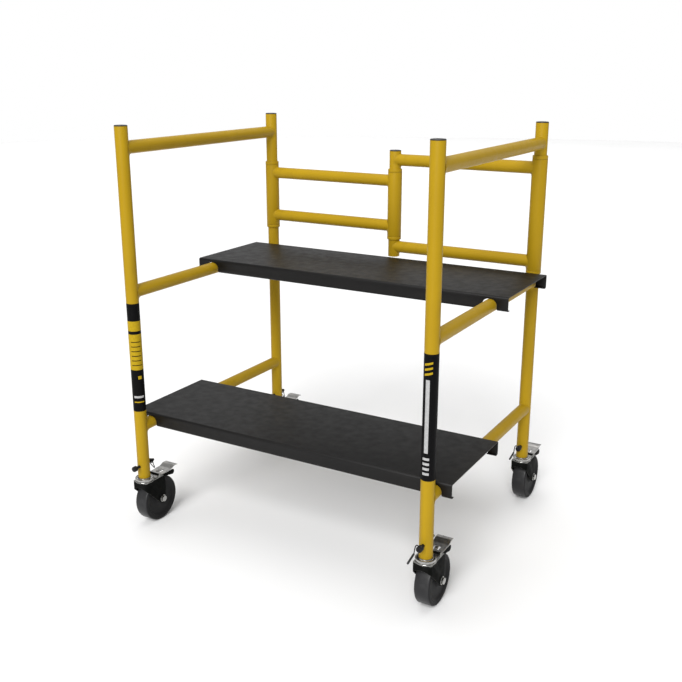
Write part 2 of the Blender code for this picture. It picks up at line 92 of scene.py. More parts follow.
# camera: the photograph's place and angle, about the middle of the four posts
CAMERA_PLACE = (1.2044, -2.0561, 1.2338)
CAMERA_YAW = 30.149
CAMERA_PITCH = 16.871
CAMERA_LENS = 48.35


# ---- materials ----------------------------------------------------------------------------
class Nodes:
    """A short way to add and join shader nodes."""

    def __init__(self, name):
        self.material = bpy.data.materials.new(name)
        self.material.use_nodes = True
        self.tree = self.material.node_tree
        self.shader = self.tree.nodes["Principled BSDF"]

    def add(self, kind, **inputs):
        node = self.tree.nodes.new(kind)
        for key, value in inputs.items():
            if key in node.inputs:
                self.put(node, key, value)
            else:
                setattr(node, key, value)
        return node

    def put(self, node, key, value):
        if isinstance(value, bpy.types.NodeSocket):
            self.tree.links.new(value, node.inputs[key])
        else:
            node.inputs[key].default_value = value

    def noise(self, scale, detail=3.0, stretch=(1.0, 1.0, 1.0)):
        coordinates = self.add("ShaderNodeTexCoord")
        mapping = self.add("ShaderNodeMapping", Vector=coordinates.outputs["Object"], Scale=stretch)
        noise = self.add("ShaderNodeTexNoise", Vector=mapping.outputs["Vector"], Scale=scale, Detail=detail)
        return noise.outputs["Fac"]

    def spread(self, value, low, high, to_low=0.0, to_high=1.0):
        node = self.add("ShaderNodeMapRange", Value=value)
        node.inputs["From Min"].default_value = low
        node.inputs["From Max"].default_value = high
        node.inputs["To Min"].default_value = to_low
        node.inputs["To Max"].default_value = to_high
        return node.outputs["Result"]

    def blend(self, factor, first, second):
        node = self.add("ShaderNodeMix", data_type="RGBA")
        self.tree.links.new(factor, node.inputs["Factor"])
        for socket, colour in ((node.inputs[6], first), (node.inputs[7], second)):
            if isinstance(colour, bpy.types.NodeSocket):
                self.tree.links.new(colour, socket)
            else:
                socket.default_value = (*colour, 1.0)
        return node.outputs[2]

    def multiply(self, first, second):
        node = self.add("ShaderNodeMath", operation="MULTIPLY")
        self.put(node, 0, first)
        self.put(node, 1, second)
        return node.outputs[0]

    def along(self, axis):
        """The object-space coordinate along one axis, in metres."""
        coordinates = self.add("ShaderNodeTexCoord")
        return self.add("ShaderNodeSeparateXYZ", Vector=coordinates.outputs["Object"]).outputs[axis]

    def painted_edge_highlight(self, radius):
        """A mask for a painted edge highlight: 0 on flat faces, rising to 1 where the surface turns a corner."""
        soft = self.add("ShaderNodeBevel", Radius=radius)
        flat = self.add("ShaderNodeNewGeometry")
        turn = self.add("ShaderNodeVectorMath", operation="DOT_PRODUCT")
        self.tree.links.new(soft.outputs["Normal"], turn.inputs[0])
        self.tree.links.new(flat.outputs["Normal"], turn.inputs[1])
        return self.spread(turn.outputs["Value"], 0.98, 0.82)

    def bump(self, height, strength, distance):
        node = self.add("ShaderNodeBump", Height=height, Strength=strength, Distance=distance)
        self.put(self.shader, "Normal", node.outputs["Normal"])

    def set(self, **inputs):
        for key, value in inputs.items():
            self.put(self.shader, key.replace("_", " "), value)
        return self.material


def yellow_paint():
    """Powder coat: a fine orange-peel skin, slow colour drift, and faint dust and rub marks."""
    n = Nodes("yellow powder coat")
    drift = n.blend(n.spread(n.noise(5.0), 0.35, 0.65), (0.385, 0.243, 0.0085), (0.352, 0.219, 0.008))
    rub_marks_and_edge_highlight = n.spread(n.noise(34.0, 6.0, (1.0, 1.0, 0.35)), 0.60, 0.72)
    faded = n.blend(n.multiply(rub_marks_and_edge_highlight, 0.25), drift, (0.26, 0.16, 0.010))
    rough = n.spread(n.noise(60.0, 4.0), 0.3, 0.7, 0.34, 0.46)
    n.bump(n.noise(900.0, 2.0), 0.2, 0.0004)
    return n.set(Base_Color=faded, Roughness=rough, Specular_IOR_Level=0.10)


def deck_coat():
    """Textured black powder coat on the decks, with light scuffs along their length."""
    n = Nodes("black deck coat")
    scuffs = n.spread(n.noise(22.0, 8.0, (0.25, 1.6, 1.0)), 0.58, 0.75)
    tone = n.blend(n.spread(n.noise(3.0), 0.35, 0.65), (0.0045, 0.0043, 0.0042), (0.0070, 0.0066, 0.0064))
    colour = n.blend(n.multiply(scuffs, 0.25), tone, (0.022, 0.021, 0.020))
    rough = n.spread(n.noise(45.0, 5.0), 0.3, 0.7, 0.40, 0.52)
    n.bump(n.noise(1400.0, 2.0), 0.4, 0.0003)
    return n.set(Base_Color=colour, Roughness=rough, Specular_IOR_Level=0.20)


def zinc_plate():
    n = Nodes("bright zinc")
    tone = n.blend(n.spread(n.noise(55.0, 5.0), 0.35, 0.65), (0.48, 0.47, 0.45), (0.36, 0.36, 0.35))
    rough = n.spread(n.noise(120.0, 4.0), 0.3, 0.7, 0.15, 0.23)
    n.bump(n.noise(300.0, 2.0), 0.03, 0.0001)
    return n.set(Base_Color=tone, Roughness=rough, Metallic=1.0)


def pedal_steel():
    """Dull plated sheet with a painted highlight along its edges."""
    n = Nodes("plated pedal")
    tone = n.blend(n.spread(n.noise(70.0, 4.0), 0.35, 0.65), (0.46, 0.45, 0.43), (0.30, 0.295, 0.29))
    # painted highlight: lighter metal where the sheet turns a corner
    rub_marks_and_edge_highlight = n.blend(n.painted_edge_highlight(0.0010), tone, (0.70, 0.69, 0.67))
    rough = n.spread(n.noise(110.0, 4.0), 0.3, 0.7, 0.26, 0.36)
    n.bump(n.noise(260.0, 2.0), 0.04, 0.0001)
    return n.set(Base_Color=rub_marks_and_edge_highlight, Roughness=rough, Metallic=0.95)


def fork_steel():
    """Dark electro-coated steel, with a painted highlight along its edges broken up like rubbed wear, and lighter
    grey round the top of the crown.
    """
    n = Nodes("black fork steel")
    tone = n.blend(n.spread(n.noise(40.0, 5.0), 0.4, 0.7), (0.003, 0.0033, 0.003), (0.007, 0.0073, 0.0065))
    # painted highlight along the edges, broken up by noise
    rub_marks_and_edge_highlight = n.multiply(n.painted_edge_highlight(0.0012), n.spread(n.noise(160.0, 3.0), 0.35, 0.60, 0.35, 1.0))
    colour = n.blend(rub_marks_and_edge_highlight, tone, (0.16, 0.16, 0.15))
    # a lighter grey band round the top of the crown
    colour = n.blend(n.spread(n.along("Z"), CROWN_Z + 0.0022, CROWN_Z + 0.0028), colour, (0.20, 0.20, 0.19))
    rough = n.spread(n.noise(90.0, 4.0), 0.3, 0.7, 0.55, 0.68)
    n.bump(n.noise(700.0, 2.0), 0.1, 0.0002)
    return n.set(Base_Color=colour, Roughness=rough, Specular_IOR_Level=0.03)


def black_oxide():
    n = Nodes("black oxide")
    tone = n.blend(n.spread(n.noise(150.0, 4.0), 0.4, 0.7), (0.004, 0.004, 0.005), (0.012, 0.011, 0.011))
    n.bump(n.noise(800.0, 2.0), 0.15, 0.0002)
    return n.set(Base_Color=tone, Roughness=n.spread(n.noise(200.0), 0.3, 0.7, 0.3, 0.45), Specular_IOR_Level=0.2)


def wheel_rubber():
    """Grey-black tread with a dusty bloom round a darker moulded core, darkened further as painted shade on the
    sidewalls.
    """
    n = Nodes("moulded wheel")
    bloom = n.spread(n.noise(38.0, 7.0), 0.42, 0.72)
    tread = n.blend(bloom, (0.016, 0.016, 0.017), (0.029, 0.029, 0.030))
    # the core tone is partly the moulding's own darker plastic and partly painted shade on the sidewalls
    core_with_painted_shade = n.blend(bloom, (0.0045, 0.0045, 0.005), (0.010, 0.010, 0.0105))
    across = n.add("ShaderNodeMath", operation="ABSOLUTE")
    n.put(across, 0, n.along("X"))
    coordinates = n.add("ShaderNodeTexCoord")
    flat = n.add("ShaderNodeMapping", Vector=coordinates.outputs["Object"], Scale=(0.0, 1.0, 1.0))
    distance = n.add("ShaderNodeVectorMath", operation="LENGTH")
    n.put(distance, 0, flat.outputs["Vector"])
    side = n.add("ShaderNodeMath", operation="MAXIMUM")
    n.put(side, 0, n.spread(across.outputs[0], 0.0176, 0.0188))
    n.put(side, 1, n.spread(distance.outputs["Value"], 0.0590, 0.0580))
    tone = n.blend(side.outputs[0], tread, core_with_painted_shade)
    rough = n.spread(side.outputs[0], 0.0, 1.0, 0.36, 0.64)
    n.bump(n.noise(650.0, 3.0), 0.3, 0.0003)
    return n.set(Base_Color=tone, Roughness=rough, Specular_IOR_Level=0.25)


def cap_plastic():
    n = Nodes("cap plastic")
    tone = n.blend(n.spread(n.noise(90.0), 0.4, 0.6), (0.012, 0.012, 0.012), (0.018, 0.018, 0.018))
    n.bump(n.noise(900.0, 2.0), 0.3, 0.0003)
    return n.set(Base_Color=tone, Roughness=n.spread(n.noise(70.0), 0.3, 0.7, 0.42, 0.55))


def vinyl(name, light, dark):
    """Printed label film: a faint print grain under a smooth skin."""
    n = Nodes(name)
    tone = n.blend(n.spread(n.noise(260.0, 3.0), 0.35, 0.65), light, dark)
    n.bump(n.noise(40.0, 2.0), 0.1, 0.0004)
    return n.set(Base_Color=tone, Roughness=n.spread(n.noise(50.0), 0.3, 0.7, 0.38, 0.48), Specular_IOR_Level=0.05)


def floor_paint():
    n = Nodes("pale floor")
    tone = n.blend(n.spread(n.noise(1.5), 0.3, 0.7), (0.90, 0.90, 0.90), (0.88, 0.88, 0.88))
    return n.set(Base_Color=tone, Roughness=0.9, Specular_IOR_Level=0.1)


YELLOW = yellow_paint()
DECK = deck_coat()
ZINC = zinc_plate()
PLATED = pedal_steel()
FORK = fork_steel()
OXIDE = black_oxide()
RUBBER = wheel_rubber()
CAP = cap_plastic()
LABEL_BLACK = vinyl("label black", (0.0030, 0.0030, 0.0033), (0.0050, 0.0050, 0.0054))
LABEL_YELLOW = vinyl("label yellow", (0.43, 0.29, 0.012), (0.37, 0.245, 0.010))
LABEL_GREY = vinyl("label grey", (0.42, 0.42, 0.42), (0.34, 0.34, 0.34))


# ---- mesh helpers -------------------------------------------------------------------------
def finish_mesh(bm, name, sharp_angle=35.0):
    bmesh.ops.remove_doubles(bm, verts=bm.verts, dist=1e-7)
    bmesh.ops.dissolve_degenerate(bm, edges=bm.edges, dist=1e-7)
    bmesh.ops.recalc_face_normals(bm, faces=bm.faces)
    mesh = bpy.data.meshes.new(name)
    bm.to_mesh(mesh)
    bm.free()
    mesh.shade_smooth()
    mesh.set_sharp_from_angle(angle=math.radians(sharp_angle))
    return mesh


def place(name, mesh, material, body, location=(0.0, 0.0, 0.0), stands_for=()):
    """One visible piece, riding on its body."""
    if not mesh.materials:
        mesh.materials.append(material)
    piece = bpy.data.objects.new(name, mesh)
    bpy.context.scene.collection.objects.link(piece)
    piece.location = location
    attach(piece, body)
    if stands_for:
        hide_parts(*stands_for)
    return piece


def combine(name, base, others, operation, bevel=0.0, sharp_angle=35.0):
    """The base mesh with the others cut out of it or joined to it, and its edges eased."""
    temporary = [bpy.data.objects.new("temporary", mesh) for mesh in [base, *others]]
    for obj in temporary:
        bpy.context.scene.collection.objects.link(obj)
    body = temporary[0]
    for other in temporary[1:]:
        boolean = body.modifiers.new("boolean", "BOOLEAN")
        boolean.operation = operation
        boolean.solver = "EXACT"
        boolean.object = other
    if bevel:
        ease = body.modifiers.new("bevel", "BEVEL")
        ease.width = bevel
        ease.segments = 2
        ease.limit_method = "ANGLE"
        ease.angle_limit = math.radians(40)
    depsgraph = bpy.context.evaluated_depsgraph_get()
    result = bpy.data.meshes.new_from_object(body.evaluated_get(depsgraph))
    for obj in temporary:
        bpy.data.objects.remove(obj, do_unlink=True)
    result.name = name
    result.shade_smooth()
    result.set_sharp_from_angle(angle=math.radians(sharp_angle))
    return result


def lathe(name, profile, sides=SIDES, closed=False, axis="Z", sharp_angle=35.0):
    """(radius, height) points turned about an axis: from axis to axis, or a ring's closed section."""
    bm = bmesh.new()
    verts = [bm.verts.new((radius, 0.0, height)) for radius, height in profile]
    edges = [bm.edges.new(pair) for pair in zip(verts, verts[1:])]
    if closed:
        edges.append(bm.edges.new((verts[-1], verts[0])))
    bmesh.ops.spin(bm, geom=verts + edges, cent=(0, 0, 0), axis=(0, 0, 1),
                   angle=math.tau, steps=sides, use_merge=True)
    if axis == "X":
        bmesh.ops.rotate(bm, verts=bm.verts, matrix=Matrix.Rotation(math.pi / 2, 3, "Y"))
    if axis == "Y":
        bmesh.ops.rotate(bm, verts=bm.verts, matrix=Matrix.Rotation(-math.pi / 2, 3, "X"))
    return finish_mesh(bm, name, sharp_angle)


def prism(name, outline, low, high, axis="X"):
    """A flat outline pushed from `low` to `high` along X (outline in YZ) or Y (outline in XZ)."""
    bm = bmesh.new()
    if axis == "X":
        corners = [bm.verts.new((low, a, b)) for a, b in outline]
        push = Vector((high - low, 0.0, 0.0))
    else:
        corners = [bm.verts.new((a, low, b)) for a, b in outline]
        push = Vector((0.0, high - low, 0.0))
    face = bm.faces.new(corners)
    moved = bmesh.ops.extrude_face_region(bm, geom=[face])
    ends = [item for item in moved["geom"] if isinstance(item, bmesh.types.BMVert)]
    bmesh.ops.translate(bm, verts=ends, vec=push)
    return finish_mesh(bm, name)


def arc(centre, radius, start, end, steps):
    points = []
    for step in range(steps + 1):
        angle = math.radians(start + (end - start) * step / steps)
        points.append((centre[0] + radius * math.cos(angle), centre[1] + radius * math.sin(angle)))
    return points


def rounded(points, radius, steps=4):
    """A closed outline with each corner replaced by a short curve."""
    smooth = []
    count = len(points)
    for index in range(count):
        before, corner, after = (Vector(points[(index + offset) % count]) for offset in (-1, 0, 1))
        reach_in = min(radius, (before - corner).length * 0.45)
        reach_out = min(radius, (after - corner).length * 0.45)
        start = corner + (before - corner).normalized() * reach_in
        end = corner + (after - corner).normalized() * reach_out
        for step in range(steps + 1):
            t = step / steps
            point = start * (1 - t) ** 2 + corner * 2 * t * (1 - t) + end * t ** 2
            smooth.append((point.x, point.y))
    return smooth


def ring_section(inner, outer, low, high, edge=0.0006):
    """A ring's section with eased outer edges."""
    return [(inner, low), (outer - edge, low), (outer - edge * 0.3, low + edge * 0.3), (outer, low + edge),
            (outer, high - edge), (outer - edge * 0.3, high - edge * 0.3), (outer - edge, high), (inner, high)]


def smooth_path(points, steps=8):
    """A Catmull-Rom curve through the points."""
    points = [Vector(point) for point in points]
    line = []
    for index in range(len(points) - 1):
        before = points[max(index - 1, 0)]
        start, end = points[index], points[index + 1]
        after = points[min(index + 2, len(points) - 1)]
        for step in range(steps):
            t = step / steps
            line.append(0.5 * ((2 * start) + (end - before) * t
                               + (2 * before - 5 * start + 4 * end - after) * t ** 2
                               + (3 * start - before - 3 * end + after) * t ** 3))
    line.append(points[-1])
    return line


def wire_mesh(name, points, radius, sides=14, steps=8):
    """A round wire swept along a smooth curve, with rounded ends."""
    line = smooth_path(points, steps)
    bm = bmesh.new()
    rings = []
    side = None
    for index, point in enumerate(line):
        heading = (line[min(index + 1, len(line) - 1)] - line[max(index - 1, 0)]).normalized()
        if side is None:
            side = heading.orthogonal().normalized()
        side = (side - heading * side.dot(heading)).normalized()
        up = heading.cross(side)
        ends = ((0, -1), (len(line) - 1, 1))
        scales = [(0.0, 1.0)]
        for end, sign in ends:
            if index == end:
                dome = [(0.85 * sign * radius, 0.5), (0.5 * sign * radius, 0.85)]
                scales = dome + scales if sign < 0 else scales + dome[::-1]
        for shift, scale in scales:
            ring = []
            for step in range(sides):
                angle = math.tau * step / sides
                offset = (side * math.cos(angle) + up * math.sin(angle)) * radius * scale
                ring.append(bm.verts.new(point + heading * shift + offset))
            rings.append(ring)
    for near, far in zip(rings, rings[1:]):
        for step in range(sides):
            following = (step + 1) % sides
            bm.faces.new((near[step], near[following], far[following], far[step]))
    bm.faces.new(rings[0])
    bm.faces.new(rings[-1])
    return finish_mesh(bm, name)


# ---- tubes --------------------------------------------------------------------------------
def coped_tube(name, length, radius, cope_near, cope_far, fillet):
    """A tube along +Y between two uprights, with a slight weld flare all round and a fillet below."""
    flare = 0.0026
    spacing = (0.0, 0.0004, 0.0009, 0.0014, 0.0020, 0.0026, 0.0040, 0.0058, 0.0080, max(fillet, 0.0095))
    bm = bmesh.new()

    def swell(distance, angle):
        if distance >= flare:
            return 0.0
        left = flare - distance
        weld = flare - math.sqrt(flare * flare - left * left)
        return 0.6 * weld * (1.0 + 0.15 * math.sin(30 * angle))

    def drop(distance, angle):
        if distance >= fillet:
            return 0.0
        left = fillet - distance
        return (fillet - math.sqrt(fillet * fillet - left * left)) * max(0.0, -math.sin(angle)) ** 1.5

    def ring(ring_radius, distance, near, outer):
        verts = []
        cope = (cope_near if near else cope_far) + GAP
        for step in range(SIDES):
            angle = math.tau * step / SIDES
            reach = ring_radius + (swell(distance, angle) if outer else 0.0)
            across = reach * math.cos(angle)
            held = min(abs(across), cope * 0.985)
            saddle = math.sqrt(cope * cope - held * held)
            along = saddle + distance if near else length - saddle - distance
            height = reach * math.sin(angle) - (drop(distance, angle) if outer else 0.0)
            verts.append(bm.verts.new((across, along, height)))
        return verts

    loops = [ring(radius, distance, True, True) for distance in spacing]
    loops += [ring(radius, distance, False, True) for distance in reversed(spacing)]
    loops += [ring(radius - TUBE_WALL, 0.001, False, False), ring(radius - TUBE_WALL, 0.001, True, False)]
    for first, second in zip(loops, loops[1:] + loops[:1]):
        for step in range(SIDES):
            following = (step + 1) % SIDES
            bm.faces.new((first[step], first[following], second[following], second[step]))
    return finish_mesh(bm, name, 60.0)


def upright(node, body, inner=None, cutter=None):
    """A finer round tube in place of an upright CAD tube, sleeve or ring."""
    low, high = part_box(node)
    outer = (high.x - low.x) / 2
    centre = (low + high) / 2
    section = ring_section(inner or outer - TUBE_WALL, outer, low.z, high.z)
    mesh = lathe(f"{node}_tube", section, closed=True)
    if cutter:
        mesh = combine(f"{node}_tube", mesh, [cutter()], "DIFFERENCE")
    place(f"{node}_finish", mesh, YELLOW, body, (centre.x, centre.y, 0.0), [node])


def pin_hole():
    hole = lathe("hole", [(0.0, -0.03), (0.0044, -0.03), (0.0044, 0.03), (0.0, 0.03)], 32, axis="Y")
    hole.transform(Matrix.Translation((0.0, 0.0, PIN_Z)))
    return hole


def stop_ring(node, body):
    """A stop ring, bevelled on the end away from its sleeve."""
    low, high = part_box(node)
    centre = (low + high) / 2
    outer = (high.x - low.x) / 2
    inner = POST_R + GAP
    bevel = 0.002
    top, bottom = (bevel, 0.0004) if node.endswith("upper") else (0.0004, bevel)
    section = [(inner, low.z), (outer - bottom, low.z), (outer - bottom * 0.3, low.z + bottom * 0.3),
               (outer, low.z + bottom), (outer, high.z - top), (outer - top * 0.3, high.z - top * 0.3),
               (outer - top, high.z), (inner, high.z)]
    mesh = lathe(f"{node}_ring", section, closed=True)
    place(f"{node}_finish", mesh, YELLOW, body, (centre.x, centre.y, 0.0), [node])


def end_cap(node, body):
    """A moulded cap: a crowned disc with an eased rim."""
    low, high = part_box(node)
    centre = (low + high) / 2
    radius = (high.x - low.x) / 2
    plug = radius - TUBE_WALL - GAP
    rim = high.z - 0.003 + GAP
    profile = [(0.0, low.z), (plug - 0.001, low.z), (plug, low.z + 0.001), (plug, rim), (radius - 0.0003, rim),
               (radius, rim + 0.0004), (radius, high.z - 0.0014), (radius - 0.0004, high.z - 0.0008),
               (radius - 0.0014, high.z - 0.0004), (radius - 0.004, high.z - 0.0001), (radius - 0.008, high.z),
               (0.0045, high.z), (0.0038, high.z - 0.0005), (0.0, high.z - 0.0006)]
    mesh = lathe(f"{node}_cap", profile)
    place(f"{node}_finish", mesh, CAP, body, (centre.x, centre.y, 0.0), [node])


def build_tubes():
    for side, x in (("left", LEFT_X), ("right", RIGHT_X)):
        body = f"{side}_frame"
        rung = coped_tube("rung", DEPTH, POST_R, POST_R, POST_R, 0.011)
        for level in ("crossbar", "mid_rung", "low_rung"):
            node = f"{side}_{level}"
            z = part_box(node)[1].z - POST_R
            place(f"{node}_finish", rung, YELLOW, body, (x, FRONT_Y, z), [node])
        for end in ("front", "rear"):
            upright(f"{side}_{end}_post", body, cutter=pin_hole)
            end_cap(f"{side}_{end}_cap", body)
        for level in ("lower", "upper"):
            stop_ring(f"{side}_stop_{level}", body)
    for level in ("lower", "upper"):
        stop_ring(f"centre_stop_{level}", "right_gate")
    upright("centre_post", "right_gate")
    end_cap("centre_cap", "right_gate")
    bore = POST_R + 0.0004
    upright("left_hinge_sleeve", "left_gate", inner=bore)
    upright("centre_sleeve", "left_gate", inner=bore)
    upright("right_hinge_sleeve", "right_gate", inner=bore)
    for side, x, cope_near, body in (("left", LEFT_X, SLEEVE_R, "left_gate"), ("right", 0.0, POST_R, "right_gate")):
        for level in ("lower", "upper"):
            node = f"{side}_gate_{level}_rail"
            low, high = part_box(node)
            radius = (high.y - low.y) / 2
            rail = coped_tube("rail", SPAN / 2, radius, cope_near, SLEEVE_R, 0.004)
            rail.transform(Matrix.Rotation(-math.pi / 2, 4, "Z"))
            place(f"{node}_finish", rail, YELLOW, body, (x, REAR_Y, high.z - radius), [node])


# ---- decks --------------------------------------------------------------------------------
def deck_mesh(ends, width, rise, fall):
    """A bent sheet between two ends along X, with turned-in lips and arched notches over the rungs."""
    sheet, lip, bend = 0.0025, 0.012, 0.0055
    half = width / 2
    inside = bend - sheet
    outer = [(half - lip, -fall)] + arc((half - bend, bend - fall), bend, -90, 0, 8)
    outer += arc((half - bend, rise - bend), bend, 0, 90, 8)
    inner = arc((half - bend, rise - bend), inside, 90, 0, 5)
    inner += arc((half - bend, bend - fall), inside, 0, -90, 5)
    inner += [(half - lip, sheet - fall)]
    outline = outer + [(-y, z) for y, z in reversed(outer)] + [(-y, z) for y, z in reversed(inner)] + inner
    bent = prism("sheet", outline, *ends)
    cutters = []
    for x, outboard in ((LEFT_X, -1), (RIGHT_X, 1)):
        arch = arc((0.0, 0.0), POST_R + 0.0008, 0, 90, 16)
        near = [(x + outboard * a, z) for a, z in arch]
        far = [(x - outboard * (a + 0.004), z) for a, z in reversed(arch)]
        cutters.append(prism("notch", [(near[0][0], -0.03)] + near + far + [(far[-1][0], -0.03)],
                             -width, width, "Y"))
    return combine("deck", bent, cutters, "DIFFERENCE", bevel=0.0004)


def build_decks():
    for node, rung in (("upper_deck", "left_mid_rung"), ("lower_deck", "left_low_rung")):
        low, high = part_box(node)
        axis_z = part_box(rung)[1].z - POST_R
        mesh = deck_mesh((low.x, high.x), high.y - low.y, high.z - axis_z, axis_z - low.z)
        place(f"{node}_finish", mesh, DECK, node, (0.0, (low.y + high.y) / 2, axis_z), [node])


# ---- casters ------------------------------------------------------------------------------
def wheel_mesh():
    """A moulded wheel: rounded tread shoulders, a stepped rim, a shallow dished web and a hub."""
    half = WHEEL_HALF
    side = [(0.0063, half), (0.0105, half), (0.0108, half - 0.0012), (0.0155, half - 0.0012), (0.0165, half - 0.0018),
            (0.0185, half - 0.0042), (0.021, half - 0.0046), (0.043, half - 0.0046), (0.0465, half - 0.0040),
            (0.0495, half - 0.0010), (0.0508, half - 0.0003), (0.0520, half - 0.0001), (0.0526, half - 0.0008),
            (0.0534, half - 0.0008), (0.0540, half - 0.0001), (0.0580, half), (0.0605, half - 0.0006),
            (0.0622, half - 0.0018), (0.0631, half - 0.0034), (WHEEL_R, half - 0.0055)]
    section = side + [(radius, -height) for radius, height in reversed(side)]
    return lathe("wheel", section, 96, closed=True, axis="X", sharp_angle=50.0)


def fork_plan():
    """The fork from above, as a block with its two front corners rounded."""
    corner_y = FORK_FRONT + FORK_CORNER
    outline = [(-FORK_OUTER, 0.13)] + arc((FORK_CORNER - FORK_OUTER, corner_y), FORK_CORNER, 180, 270, 10)
    outline += arc((FORK_OUTER - FORK_CORNER, corner_y), FORK_CORNER, 270, 360, 10) + [(FORK_OUTER, 0.13)]
    plan = prism("plan", outline, -0.16, -0.01, "Y")
    plan.transform(Matrix.Rotation(-math.pi / 2, 4, "X"))
    return plan


def fork_mesh():
    """The formed fork: an arched apron and two tapered legs under a round crown, with ears for the pedal."""
    crown_top = CROWN_Z + 0.003
    outline = [(FORK_FRONT, crown_top), (FORK_FRONT, 0.1090), (-0.0204, 0.1066), (-0.0180, 0.1045)]
    outline += arc((TRAIL, WHEEL_R), 0.0138, 208, 360, 18)
    outline += [(0.0568, 0.090), (0.0578, 0.108), (0.0560, 0.122), (0.0515, crown_top)]
    outline += arc(PEDAL_PIVOT, 0.0045, -10, 190, 16)
    outline += [(0.0295, crown_top)]
    body = combine("fork", prism("fork body", outline, -FORK_OUTER, FORK_OUTER), [fork_plan()], "INTERSECT")
    room = [(-FORK_INNER, -0.01), (FORK_INNER, -0.01)]
    room += arc((FORK_INNER - 0.006, CROWN_Z - 0.006), 0.006, 0, 90, 6)
    room += arc((0.006 - FORK_INNER, CROWN_Z - 0.006), 0.006, 90, 180, 6)
    wheel_room = prism("wheel room", room, FORK_FRONT + 0.0025, 0.12, "Y")
    arch = [(-FORK_INNER, -0.01), (FORK_INNER, -0.01)] + arc((0.0, 0.0701), 0.0430, 60, 120, 16)
    arch_room = prism("arch room", arch, -0.05, -0.015, "Y")
    behind = [(0.029, 0.10), (0.12, 0.10), (0.12, 0.16), (0.029, 0.16)]
    pedal_room = prism("pedal room", behind, -FORK_INNER, FORK_INNER)
    hollowed = combine("fork", body, [wheel_room, arch_room, pedal_room], "DIFFERENCE")
    crown = lathe("crown", [(0.0, CROWN_Z - 0.0005), (RACE_R - 0.001, CROWN_Z - 0.0005), (RACE_R + 0.0003, CROWN_Z),
                            (RACE_R + 0.0005, CROWN_Z + 0.0012), (RACE_R + 0.0003, crown_top),
                            (0.0, crown_top + 0.0002)])
    joined = combine("fork", hollowed, [crown], "UNION")
    return combine("fork", joined, [], "UNION", bevel=0.0006)


def race_mesh():
    """The lower bearing race, a pressed ring on the crown."""
    low = CROWN_Z + 0.003
    profile = [(0.012, low), (RACE_R - 0.0008, low), (RACE_R, low + 0.0006), (RACE_R - 0.0001, low + 0.0014),
               (RACE_R - 0.0010, low + 0.0020), (RACE_R - 0.0026, low + 0.0024), (RACE_R - 0.0028, RACE_TOP),
               (0.012, RACE_TOP)]
    return lathe("race", profile, closed=True, sharp_angle=60.0)


def stem_mesh():
    """The upper bearing cup and the stem that goes up into the post."""
    low = RACE_TOP + 0.0005
    shoulder = POST_LOW.z - GAP
    stem_r = POST_R - TUBE_WALL - 0.0005
    profile = [(0.0, low), (RACE_R - 0.0012, low), (RACE_R - 0.0003, low + 0.0006), (RACE_R, low + 0.0016),
               (RACE_R - 0.0001, low + 0.0030), (RACE_R - 0.0006, low + 0.0046), (RACE_R - 0.0014, low + 0.0052),
               (RACE_R - 0.0024, low + 0.0048), (RACE_R - 0.0036, low + 0.0036), (POST_R + 0.0024, low + 0.0034),
               (POST_R + 0.0010, low + 0.0042), (POST_R + 0.0004, shoulder), (stem_r, shoulder),
               (stem_r, 0.2110), (stem_r - 0.0015, 0.2125), (0.0, 0.2125)]
    return combine("stem", lathe("stem", profile, sharp_angle=50.0), [pin_hole()], "DIFFERENCE")


def hexagon(name, low, high, across):
    """A bolt head or nut along X, with its corners turned off."""
    block = lathe(name, [(0.0, low), (across, low), (across, high), (0.0, high)], 6, axis="X")
    edge = 0.0012
    reach = across * 1.02
    turned = lathe("turned", [(0.0, low), (across * 0.88, low), (reach, low + edge), (reach, high - edge),
                              (across * 0.88, high), (0.0, high)], 48, axis="X")
    return combine(name, block, [turned], "INTERSECT", bevel=0.0002)


def axle_mesh():
    outer = FORK_OUTER + GAP
    head = 0.0065
    shank = lathe("shank", [(0.0, -outer - head - 0.002), (0.0050, -outer - head - 0.002),
                            (0.0057, -outer - head - 0.0013), (0.0057, outer + 0.001), (0.0, outer + 0.001)],
                  32, axis="X")
    parts = [hexagon("head", outer + 0.0012, outer + head, 0.0090), hexagon("nut", -outer - head, -outer - 0.0012, 0.0090)]
    for low in (outer, -outer - 0.0014):
        parts.append(lathe("washer", [(0.0, low), (0.0098, low), (0.0102, low + 0.0004), (0.0102, low + 0.0010),
                                      (0.0098, low + 0.0014), (0.0, low + 0.0014)], 48, axis="X"))
    return combine("axle", shank, parts, "UNION")


